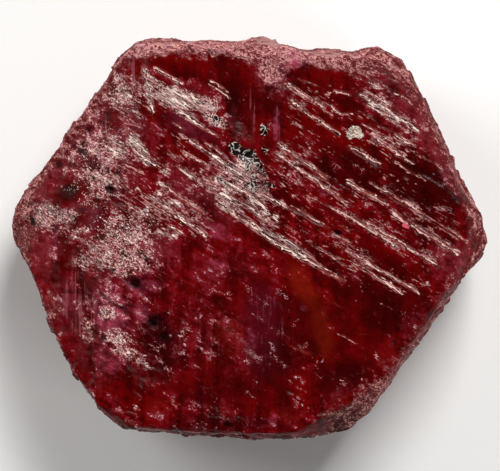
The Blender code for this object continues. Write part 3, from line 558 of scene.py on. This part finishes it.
# The skin stays inside the solid's box, and flat where it rests. How steep and how sharp it is, is kept for
# the finish.
lowest, highest = (np.array(corner) * MM for corner in cad_box)
skin = np.clip(read_points(crystal.data), lowest, highest)
write_points(crystal.data, skin)
slope = np.degrees(np.arccos(np.clip(read_points(crystal.data, "normal")[:, 2], -1, 1)))
write_masks(crystal.data, sheer=ease(slope, *SHEER_DEGREES) * on_table,
            worn=np.clip(convexity(crystal.data, skin) / SHARP_BEND, -1, 1))

# The crystal's finish
# Corundum coloured by chromium: hard, deep red and glassy where it is sound, frosted mauve-pink where growth
# steps and wear have broken its skin into facets too small to see.
DEEP_RED = "#380000"
SOUND_RED = "#640102"
CRIMSON = "#760510"
HAZE = "#72222C"
VIOLET = "#4E0916"
DUSK = "#641C28"
PINK_VEIL = "#A8405A"
ORANGE = "#801C0A"
# the deepest red; also painted shade beside fine lines, at the feet of lip lines and in small pits
BLACK_RED = "#1C0001"
DARK_MAUVE = "#54050B"
# painted shade: on the lower rim, in the grooves of the sides, and in pockets of the haze
SHADED_MAUVE = "#2C0307"
MAUVE = "#7A363E"
PALE_MAUVE = "#B48286"
ROSE = "#560E14"
FROST_SHADE = "#74262C"
FROST_PINK = "#C88C84"
SUGAR_PINK = "#DA9092"
# the white of the palest frost, and of painted glints
FROST_AND_GLINT_WHITE = "#FFE6DA"
MICA_BLACK = "#0A0706"
MICA_GREY = "#D2C4BC"
CREAM = "#A8846C"
CRUMB_GREY = "#5A4038"
CRUMB_WHITE = "#F2E0D2"
CORAL = "#CC5460"
LIP_RED = "#74241E"
CHALKY_MAUVE = "#9A706C"
PALE_PINK = "#C6848E"

# How large the marks in the skin are: along the ledges, across them and up. The grains and lines of the real
# skin are finer, 0.01 to 0.05 mm, and are drawn this coarse so that they show.
CLOUD_MM = (3.0, 2.2, 2.2)
PATCH_MM = (1.3, 0.8, 0.8)
MOTTLE_MM = (0.55, 0.40, 0.40)
GRAIN_MM = (0.26, 0.16, 0.16)
GRIT_MM = (0.13, 0.10, 0.10)
HAIR_MM = (1.9, 0.10, 0.10)
THREAD_MM = (3.4, 0.26, 0.26)
FINE_THREAD_MM = (1.3, 0.20, 0.20)
HAIRLINE_MM = (4.6, 0.34, 0.34)
CRACK_MM = (0.70, 0.40, 0.40)
FINE_CRACK_MM = (0.32, 0.20, 0.20)
FLAKE_MM = (0.50, 0.42, 0.42)
FOIL_FACET_MM = (0.34, 0.20, 0.20)
CHIP_MM = (0.17, 0.12, 0.12)
LIP_LAYER_MM = 0.22
RIM_LAYER_MM = 0.34
# And of those that stand upright: to the right, up the table, and up.
COLUMN_MM = (0.9, 7.0, 7.0)
STRIA_MM = (0.17, 3.2, 3.2)
GROWTH_BAND_MM = (4.0, 4.0, 0.55)
LUMP_MM = (0.5, 0.5, 0.5)

ruby.use_nodes = True
finish = ruby.node_tree
finish.nodes.clear()
place = add_node(finish, 'ShaderNodeTexCoord').outputs["Object"]
upright = add_node(finish, 'ShaderNodeMapping', {"Vector": place, "Scale": (MM, MM, MM)}).outputs[0]
turned = add_node(finish, 'ShaderNodeMapping', {"Vector": place, "Scale": (MM, MM, MM),
                                                "Rotation": (0, 0, -LEDGE_ANGLE)}).outputs[0]
masks = {}
for name in (*ZONES, "rim", "streaks", "lip", "off_lip", "south", "wall", "side", "flat", "sheer", "worn"):
    masks[name] = add_node(finish, 'ShaderNodeAttribute', attribute_name=name).outputs["Fac"]


def srgb(code):
    """A colour written as sRGB hex, as the linear values that a shader reads."""
    parts = [int(code[start:start + 2], 16) / 255 for start in (1, 3, 5)]
    linear = [part / 12.92 if part <= 0.04045 else ((part + 0.055) / 1.055) ** 2.4 for part in parts]
    return (*linear, 1.0)


def mottling(size, detail=3.0, roughness=0.6, place=turned):
    """Uneven grains of a size."""
    scaled = add_node(finish, 'ShaderNodeVectorMath', {0: place, 1: size}, operation='DIVIDE').outputs[0]
    return add_node(finish, 'ShaderNodeTexNoise', {"Vector": scaled, "Scale": 1.0, "Detail": detail,
                                                   "Roughness": roughness}).outputs["Fac"]


def broken_facets(size):
    """Small flat facets of a size, each tilted its own way: their height, and two random shades."""
    scaled = add_node(finish, 'ShaderNodeVectorMath', {0: turned, 1: size}, operation='DIVIDE').outputs[0]
    noise = add_node(finish, 'ShaderNodeTexNoise', {"Vector": scaled, "Scale": 1.4, "Detail": 1.0}).outputs
    bend = add_node(finish, 'ShaderNodeVectorMath', {0: noise["Color"], "Scale": 0.25}, operation='SCALE')
    uneven = add_node(finish, 'ShaderNodeVectorMath', {0: scaled, 1: bend.outputs[0]}).outputs[0]
    cells = add_node(finish, 'ShaderNodeTexVoronoi', {"Vector": uneven, "Scale": 1.0}).outputs
    away = add_node(finish, 'ShaderNodeVectorMath', {0: uneven, 1: cells["Position"]}, operation='SUBTRACT')
    reach = add_node(finish, 'ShaderNodeVectorMath', {0: away.outputs[0], 1: size}, operation='MULTIPLY')
    tilt = add_node(finish, 'ShaderNodeVectorMath', {0: cells["Color"], 1: (0.5, 0.5, 0.5)},
                    operation='SUBTRACT')
    height = add_node(finish, 'ShaderNodeVectorMath', {0: reach.outputs[0], 1: tilt.outputs[0]},
                      operation='DOT_PRODUCT').outputs["Value"]
    shades = add_node(finish, 'ShaderNodeSeparateColor', {0: cells["Color"]}).outputs
    return height, shades[0], shades[2]


def read(part):
    """A mask by its name, a pattern as it is, or a pair of them: the second, where the first lets it show."""
    if isinstance(part, tuple):
        return add_node(finish, 'ShaderNodeMath', {0: read(part[0]), 1: read(part[1])},
                        operation='MULTIPLY').outputs[0]
    return masks[part] if isinstance(part, str) else part


def blend(parts, total=0.0):
    """A weighted sum of masks and patterns."""
    for part, weight in parts:
        total = add_node(finish, 'ShaderNodeMath', {0: read(part), 1: weight, 2: total},
                         operation='MULTIPLY_ADD').outputs[0]
    return total


def where(parts, low, high):
    """A weighted sum, eased from 0 at low to 1 at high."""
    return add_node(finish, 'ShaderNodeMapRange', {"Value": blend(parts), "From Min": low, "From Max": high},
                    interpolation_type='SMOOTHSTEP').outputs[0]


def distance_from(middle, value):
    """How far a value is from a middle, above or below."""
    offset = add_node(finish, 'ShaderNodeMath', {0: value, 1: middle}, operation='SUBTRACT').outputs[0]
    return add_node(finish, 'ShaderNodeMath', {0: offset}, operation='ABSOLUTE').outputs[0]


def squiggles(size, thickness):
    """Thin winding lines, like the edges of broken layers: the lit edge, and the shaded side next to it."""
    scaled = add_node(finish, 'ShaderNodeVectorMath', {0: turned, 1: size}, operation='DIVIDE').outputs[0]
    noise = add_node(finish, 'ShaderNodeTexNoise', {"Vector": scaled, "Scale": 1.0, "Detail": 1.5,
                                                    "Roughness": 0.6, "Distortion": 0.8}).outputs["Fac"]
    return [where([(distance_from(middle, noise), -1.0)], -thickness, 0.0)
            for middle in (0.5, 0.5 + 1.5 * thickness)]


def layered(colour, layers):
    """Lay colours over one another, each by its mask."""
    colour = srgb(colour) if isinstance(colour, str) else colour
    for mask, over in layers:
        over = srgb(over) if isinstance(over, str) else over
        mix = add_node(finish, 'ShaderNodeMix', {0: read(mask), 6: colour, 7: over}, data_type='RGBA')
        colour = mix.outputs[2]
    return colour


# Patterns
clouds = mottling(CLOUD_MM)
patches = mottling(PATCH_MM, 4.0)
mid = mottling(MOTTLE_MM)
grain = mottling(GRAIN_MM, 2.0, 0.7)
grit = mottling(GRIT_MM, 1.0)
hairs = mottling(HAIR_MM, 2.0, 0.5)
columns = mottling(COLUMN_MM, place=upright)
striae = mottling(STRIA_MM, 2.0, 0.5, upright)
growth = mottling(GROWTH_BAND_MM, 4.0, 0.6, upright)
lumps = mottling(LUMP_MM, place=upright)
threads, thread_shade = squiggles(THREAD_MM, 0.052)
fine_threads, fine_shade = squiggles(FINE_THREAD_MM, 0.05)
hairlines, hairline_shade = squiggles(HAIRLINE_MM, 0.030)
cracks, crack_shade = squiggles(CRACK_MM, 0.045)
fine_cracks, fine_crack_shade = squiggles(FINE_CRACK_MM, 0.045)
flakes, _ = squiggles(FLAKE_MM, 0.045)
foil, foil_shade, foil_tone = broken_facets(FOIL_FACET_MM)
chips, _, chip_chance = broken_facets(CHIP_MM)
LAYER_STEP_MM = 7.3         # two layers are read this far apart in a pattern, so that each breaks its own way


def layer_lines(distance, spacing, waver, tremble, lengths):
    """Lines that follow a distance at a spacing, broken along their length: lit edges of painted highlight,
    and feet of painted shade.
    """
    strayed = blend([(mid, waver), (grain, tremble)], masks[distance])
    middle = 0.5 * (spacing - waver - tremble)
    level = add_node(finish, 'ShaderNodeMath', {0: strayed, 1: middle}).outputs[0]
    level = add_node(finish, 'ShaderNodeMath', {0: level, 1: spacing}, operation='DIVIDE').outputs[0]
    share = add_node(finish, 'ShaderNodeMath', {0: level}, operation='FRACT').outputs[0]
    layer = add_node(finish, 'ShaderNodeMath', {0: level}, operation='FLOOR').outputs[0]
    apart = add_node(finish, 'ShaderNodeMath', {0: layer, 1: LAYER_STEP_MM}, operation='MULTIPLY').outputs[0]
    shift = add_node(finish, 'ShaderNodeCombineXYZ', {2: apart}).outputs[0]
    own = add_node(finish, 'ShaderNodeVectorMath', {0: turned, 1: shift}).outputs[0]
    lasting = where([(mottling(lengths, 2.0, 0.6, own), 1.0)], 0.44, 0.52)
    edge = where([(distance_from(0.5, share), -1.0)], -0.22, -0.10)
    shaded_foot = where([(share, -1.0)], -0.42, -0.24)
    return (lasting, edge), (lasting, shaded_foot)


lip_line, lip_shaded_foot = layer_lines("off_lip", LIP_LAYER_MM, 0.55, 0.22, (2.8, 0.5, 0.9))
rim_line, rim_shaded_foot = layer_lines("rim", RIM_LAYER_MM, 1.6, 0.5, (0.8, 0.5, 0.9))

# Where each finish shows: masks and patterns with their weights, and the sums where it starts and is full. A
# pattern's middle is 0.5.
rimmed = where([("rim", 1.0), (patches, 1.8), (mid, 1.2), (grain, 0.8), ("bare", -1.1)], 1.6, 2.5)
frosted = where([("frost", 1.0), ("haze", 0.25), ("glass", -0.8), ("lip", 0.3), (patches, 1.3), (mid, 1.8),
                 (grain, 1.8)], 3.34, 4.02)
crusted = where([("frost", 0.7), ("haze", 0.35), ("glass", -0.6), ("streaks", -0.15), (patches, 1.3),
                 (mid, 1.8), (grain, 1.5)], 2.74, 3.32)
combed = where([("streaks", 0.25), ("lip", 0.45), ("frost", 0.3), ("glass", -0.35), ("sheer", 0.1),
                (patches, 1.6), (mid, 1.2), (grain, 0.5)], 2.17, 2.34)
fine_combed = where([("streaks", 0.25), ("lip", 0.7), ("frost", 0.40), ("glass", -0.25), ("sheer", 0.2),
                     (clouds, 0.8), (patches, 1.3), (mid, 0.8), (grain, 0.8)], 2.27, 2.46)
laced = where([("lip", 1.0), (grain, 0.6), (mid, 0.7), (patches, 0.9)], 1.52, 1.80)
reddened = where([("lip", 1.0), (grain, 0.8), (patches, 1.2), (mid, 0.8)], 1.60, 2.3)
terraced = where([(rimmed, 0.35), ("dusty", 0.45), ("rim", 0.1), (patches, 1.4), (mid, 0.8)], 1.45, 1.75)
lined = where([("streaks", 0.7), ("lip", 0.25), ("frost", 0.25), ("glass", -0.15), (mid, 1.2), (grain, 0.8),
               (clouds, 0.8)], 2.13, 2.30)
# where the pale lines turn white: painted glints on the frost
glint_peaks = where([("lip", 0.25), ("frost", 0.6), (grain, 1.2), (mid, 0.8)], 1.08, 1.45)
striped = (where([("striae", 1.0), (mid, 0.6), (patches, 0.6)], 0.85, 1.3),
           where([(striae, 1.0)], 0.50, 0.62))
hazed = where([("haze", 0.8), ("glass", -0.5), (clouds, 0.8), (patches, 1.0), (mid, 1.2), (grain, 0.8),
               (columns, 0.6)], 2.25, 3.35)
lipped = where([("lip", 1.0), ("sheer", 0.3), (grain, 1.8), (hairs, 1.8), (mid, 1.0), (fine_threads, 0.4)],
               3.80, 4.15)
crumbed = where([("crumb", 1.0), (mid, 0.8), (grain, 0.5)], 1.05, 1.2)
chipped = where([(chip_chance, 1.0), ("streaks", 0.01), (patches, 0.12)], 1.050, 1.055)
glinting = where([(mid, 0.6), (patches, 1.0), ("glass", -0.05), ("haze", 0.04)], 0.925, 0.98)
# white specks of painted glints on the frost and the haze
glint_specks = (where([("frost", 0.6), ("haze", 0.4), (patches, 0.8), (mid, 1.0)], 1.26, 1.72),
            where([(grit, 1.0), (grain, 0.6)], 0.93, 1.03))
worn = (rimmed, where([("worn", 1.0), (grain, 0.8)], 0.95, 1.35))

# The colours of each finish
sound_red = layered(DEEP_RED, [
    (where([(clouds, 1.0), (patches, 0.5), (columns, 0.5)], 0.75, 1.25), SOUND_RED),
    (where([(patches, 0.8), (mid, 0.6), ("glass", -0.2), (columns, 0.4)], 0.80, 1.15), CRIMSON),
    (where([(lumps, -0.8), (columns, -0.6)], -0.68, -0.50), DEEP_RED),
    (where([("violet", 1.0), (patches, 0.6), (mid, 0.4)], 0.6, 1.7), VIOLET),
    (where([("glow", 1.0), (clouds, 0.5), (mid, 0.5)], 0.7, 1.9), ORANGE),
    (where([("dark", 1.0), (patches, 0.4), (mid, 0.3)], 0.5, 1.3), BLACK_RED),
    (where([("streaks", -0.25), ("glass", -0.10), (lumps, 1.2), (columns, 0.6), (grain, 0.4)],
           1.13, 1.62), HAZE),
    (hazed, HAZE),
    (where([("violet", 1.0), ("haze", 0.5), (patches, 0.8), (mid, 0.6)], 1.65, 2.20), DUSK),
    (where([("haze", 0.6), (clouds, -1.0), (patches, -1.2), (mid, -0.8)], -0.92, -0.66), SHADED_MAUVE),
    (where([("pink", 1.0), (patches, 0.9), (mid, 0.9), (grain, 0.4)], 1.3, 2.5), PINK_VEIL),
])
foil_pink = layered(ROSE, [
    (where([(foil_shade, 0.6), (grain, 0.8)], 0.6, 0.95), FROST_SHADE),
    (where([("frost", 0.3), (fine_cracks, 0.5), (grain, 1.0), (foil_tone, 0.3)], 1.2, 1.5), SUGAR_PINK),
])
rim_mauve = layered(DARK_MAUVE, [
    # painted shade: the rim below the middle is darker and less pale, as it looks away from the lights
    ("south", SHADED_MAUVE),
    (where([(grain, 1.3), (patches, 0.9), (mid, 0.7), (grit, 0.5), ("dusty", 0.45), ("south", -0.35)],
           1.74, 2.04), MAUVE),
    (where([(grit, 0.8), (grain, 1.2), (mid, 0.7), (fine_cracks, 0.3), ("dusty", 0.42), ("south", -0.4)],
           1.62, 1.94), PALE_MAUVE),
    ((where([(mid, 1.0), ("dusty", 0.1)], 0.45, 0.60), fine_cracks), FROST_PINK),
])
side_red = layered(rim_mauve, [
    (where([(clouds, 1.6), (patches, 1.2), (growth, 0.8)], 1.66, 2.0), sound_red),
    (where([(growth, 1.0), (patches, 0.5), (mid, 0.4)], 1.04, 1.16), SHADED_MAUVE),
])
mica_grey = layered(BLACK_RED, [
    (where([("mica", 1.0)], 0.9, 1.1), MICA_BLACK),
    (flakes, MICA_GREY),
])
# the crumb's cream with grey and white grains; grey painted shade beside its cracks and white painted
# highlights along them
crumb_cream = layered(CREAM, [
    (where([(mid, 1.0), (grain, 1.2)], 1.05, 1.2), CRUMB_GREY),
    (where([(grit, 1.0), (grain, 1.0)], 1.0, 1.1), CRUMB_WHITE),
    (crack_shade, CRUMB_GREY),
    (fine_cracks, CRUMB_WHITE),
])
# painted highlight: the pink of the lit line edges, white at their glints
lit_pink = layered(FROST_PINK, [(glint_peaks, FROST_AND_GLINT_WHITE)])

# All of them, one over the other: rim and frost, fine lines and ledges with their painted highlights and
# painted shade, sides, stains and pits in painted shade, and what else grew in.
colour = layered(sound_red, [
    (rimmed, rim_mauve),
    (frosted, foil_pink),
    (striped, MAUVE),
    # fine lines: each lit edge is a painted highlight, and the shaded side or foot beside it painted shade
    ((crusted, crack_shade), ROSE),
    ((crusted, cracks), SUGAR_PINK),
    ((crusted, fine_crack_shade), ROSE),
    ((crusted, fine_cracks), layered(SUGAR_PINK, [(glint_peaks, FROST_AND_GLINT_WHITE)])),
    (glint_specks, FROST_AND_GLINT_WHITE),
    ((fine_combed, fine_shade), BLACK_RED),
    ((fine_combed, fine_threads), PALE_MAUVE),
    (reddened, LIP_RED),
    ((lined, hairline_shade), DEEP_RED),
    ((lined, hairlines), FROST_PINK),
    (lipped, FROST_PINK),
    ((combed, thread_shade), BLACK_RED),
    ((combed, threads), lit_pink),
    ((laced, lip_shaded_foot), BLACK_RED),
    ((laced, lip_line), lit_pink),
    ((terraced, rim_shaded_foot), DARK_MAUVE),
    ((terraced, rim_line), FROST_PINK),
    (where([("haze", 0.12), ("glass", -0.08), ("streaks", -0.1), (patches, 0.6), (mid, 0.6), (grain, 0.7),
            (grit, 1.0)], 1.75, 1.90), PALE_PINK),
    ((glinting, fine_cracks), layered(PALE_MAUVE, [(glint_peaks, FROST_AND_GLINT_WHITE)])),
    (where([("side", 1.0), (clouds, 1.0), (patches, 0.8)], 1.32, 1.48), side_red),
    (worn, PALE_MAUVE),
    (where([("chalky", 1.0), (mid, 1.0), (patches, 0.6), (grain, 0.6)], 1.65, 2.25), CHALKY_MAUVE),
    (where([("pink", 1.0), (mid, 1.0), (grain, 1.0), (patches, 0.8)], 2.50, 2.95), PALE_PINK),
    (where([("dark", 1.0), (patches, 0.8), (mid, 0.8), (grain, 0.8)], 2.05, 2.60), BLACK_RED),
    (where([("mica", 1.0), (mid, 1.6), (patches, 1.2)], 2.05, 2.2), mica_grey),
    (crumbed, crumb_cream),
    (where([("coral", 1.0), (grain, 0.3)], 0.45, 0.65), CORAL),
])

# How rough and how high the skin is. The heights are in millimetres.
GLASSY = 0.2                # the roughness of the sound skin, and of the frosted one
MATTE = 0.65
PATCH_HEIGHT_MM = 0.012
CORUNDUM_IOR = 1.768
SOFT_SHEEN = 0.05           # a weathered skin mirrors the lights far less than a cut stone
SCATTER_SHARE = 0.1         # a little light spreads below the skin, red farthest
SCATTER_MM = 0.5
SCATTER_REACH = (1.0, 0.1, 0.08)
matte = where([(frosted, 0.35), (rimmed, 0.8), ("lip", 0.5), ("haze", 0.3), ("sheer", 0.45), ("mica", 0.2)],
              0.0, 1.0)
roughness = add_node(finish, 'ShaderNodeMapRange',
                     {"Value": matte, "To Min": GLASSY, "To Max": MATTE}).outputs[0]
height = blend([
    ((chipped, chips), 1.0), ((rimmed, grain), 0.04), ((crusted, cracks), 0.015), ((combed, threads), 0.025),
    (("flat", lumps), 0.06), (("flat", grain), 0.02), (("side", growth), 0.06), (("side", cracks), 0.02),
    (("streaks", hairs), 0.006), (("lip", grain), 0.05), ((crumbed, grain), 0.30), (("wall", patches), 0.02),
    (patches, PATCH_HEIGHT_MM)], read((frosted, foil)))
bump = add_node(finish, 'ShaderNodeBump', {"Height": height, "Strength": 1.0, "Distance": 1 / MM}).outputs[0]
shader = add_node(finish, 'ShaderNodeBsdfPrincipled', {
    "Base Color": colour, "Roughness": roughness, "Normal": bump, "IOR": CORUNDUM_IOR,
    "Specular IOR Level": SOFT_SHEEN, "Subsurface Weight": SCATTER_SHARE,
    "Subsurface Radius": SCATTER_REACH, "Subsurface Scale": SCATTER_MM / MM})
add_node(finish, 'ShaderNodeOutputMaterial', {"Surface": shader.outputs[0]})

crystal.data.materials.clear()
crystal.data.materials.append(ruby)
crystal.data.shade_smooth()
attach(crystal, "root")
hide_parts("ruby_crystal")

# The studio
# A pale matte sweep under and all round the crystal, three soft lights, and a long lens straight above.
FLOOR_RADIUS = 0.50
SWEEP_BEND = 0.30
SWEEP_HEIGHT = 0.36
BEND_STEPS = 12
ROUND_STEPS = 64
PAPER_WHITE = "#F2F1EF"


def studio_sweep():
    """A round floor whose edge curves up into a wall."""
    mesh = bmesh.new()
    profile = [(0.0, 0.0)]
    for step in range(BEND_STEPS + 1):
        angle = math.radians(90 * step / BEND_STEPS)
        profile.append((FLOOR_RADIUS + SWEEP_BEND * math.sin(angle), SWEEP_BEND * (1 - math.cos(angle))))
    profile.append((FLOOR_RADIUS + SWEEP_BEND, SWEEP_HEIGHT))
    line = [mesh.verts.new((x, 0, z)) for x, z in profile]
    edges = [mesh.edges.new(pair) for pair in zip(line, line[1:])]
    bmesh.ops.spin(mesh, geom=line + edges, cent=(0, 0, 0), axis=(0, 0, 1), angle=math.tau,
                   steps=ROUND_STEPS, use_duplicate=False, use_merge=True)
    bmesh.ops.remove_doubles(mesh, verts=mesh.verts, dist=1e-5)
    bmesh.ops.recalc_face_normals(mesh, faces=mesh.faces)
    data = bpy.data.meshes.new("studio_sweep")
    mesh.to_mesh(data)
    mesh.free()
    floor = bpy.data.objects.new("studio_sweep", data)
    bpy.context.collection.objects.link(floor)
    paper = bpy.data.materials.new("matte_white_paper")
    paper.use_nodes = True
    shader = paper.node_tree.nodes["Principled BSDF"]
    shader.inputs["Base Color"].default_value = srgb(PAPER_WHITE)
    shader.inputs["Roughness"].default_value = 0.9
    shader.inputs["Specular IOR Level"].default_value = 0.1
    data.materials.append(paper)
    data.shade_smooth()


def soft_light(name, azimuth, elevation, distance, size, power):
    """A square white light that faces the crystal, with its angles in degrees and its power in watts."""
    lamp = bpy.data.lights.new(name, 'AREA')
    lamp.size = size
    lamp.energy = power
    light = bpy.data.objects.new(name, lamp)
    turn, rise = math.radians(azimuth), math.radians(elevation)
    light.location = (distance * math.cos(rise) * math.cos(turn), distance * math.cos(rise) * math.sin(turn),
                      distance * math.sin(rise))
    light.rotation_euler = (math.pi / 2 - rise, 0, turn + math.pi / 2)
    bpy.context.collection.objects.link(light)


studio_sweep()
soft_light("key", azimuth=66, elevation=50, distance=0.45, size=0.18, power=2.0)
soft_light("fill", azimuth=150, elevation=26, distance=0.5, size=0.30, power=1.4)
soft_light("low_fill", azimuth=320, elevation=22, distance=0.5, size=0.30, power=0.8)
world = bpy.data.worlds.new("studio_air")
world.use_nodes = True
air = world.node_tree.nodes["Background"].inputs
air["Color"].default_value = srgb("#E8E8EA")
air["Strength"].default_value = 0.08
bpy.context.scene.world = world
bpy.context.scene.view_settings.view_transform = 'Standard'

CAMERA_HEIGHT = 0.260
CAMERA_SHIFT = (0.00004, 0.00018)   # so that the crystal stands in the middle of the frame
FOCUS_HEIGHT = 0.009                # the height at which a millimetre covers so many pixels
PIXELS_PER_MM = 14.15
FRAME_WIDTH_PX = 500
frame_width = FRAME_WIDTH_PX / PIXELS_PER_MM / MM
camera = bpy.data.objects.new("camera", bpy.data.cameras.new("camera"))
camera.location = (*CAMERA_SHIFT, CAMERA_HEIGHT)
camera.data.lens = camera.data.sensor_width * (CAMERA_HEIGHT - FOCUS_HEIGHT) / frame_width
camera.data.clip_start = 0.01
bpy.context.collection.objects.link(camera)
bpy.context.scene.camera = camera
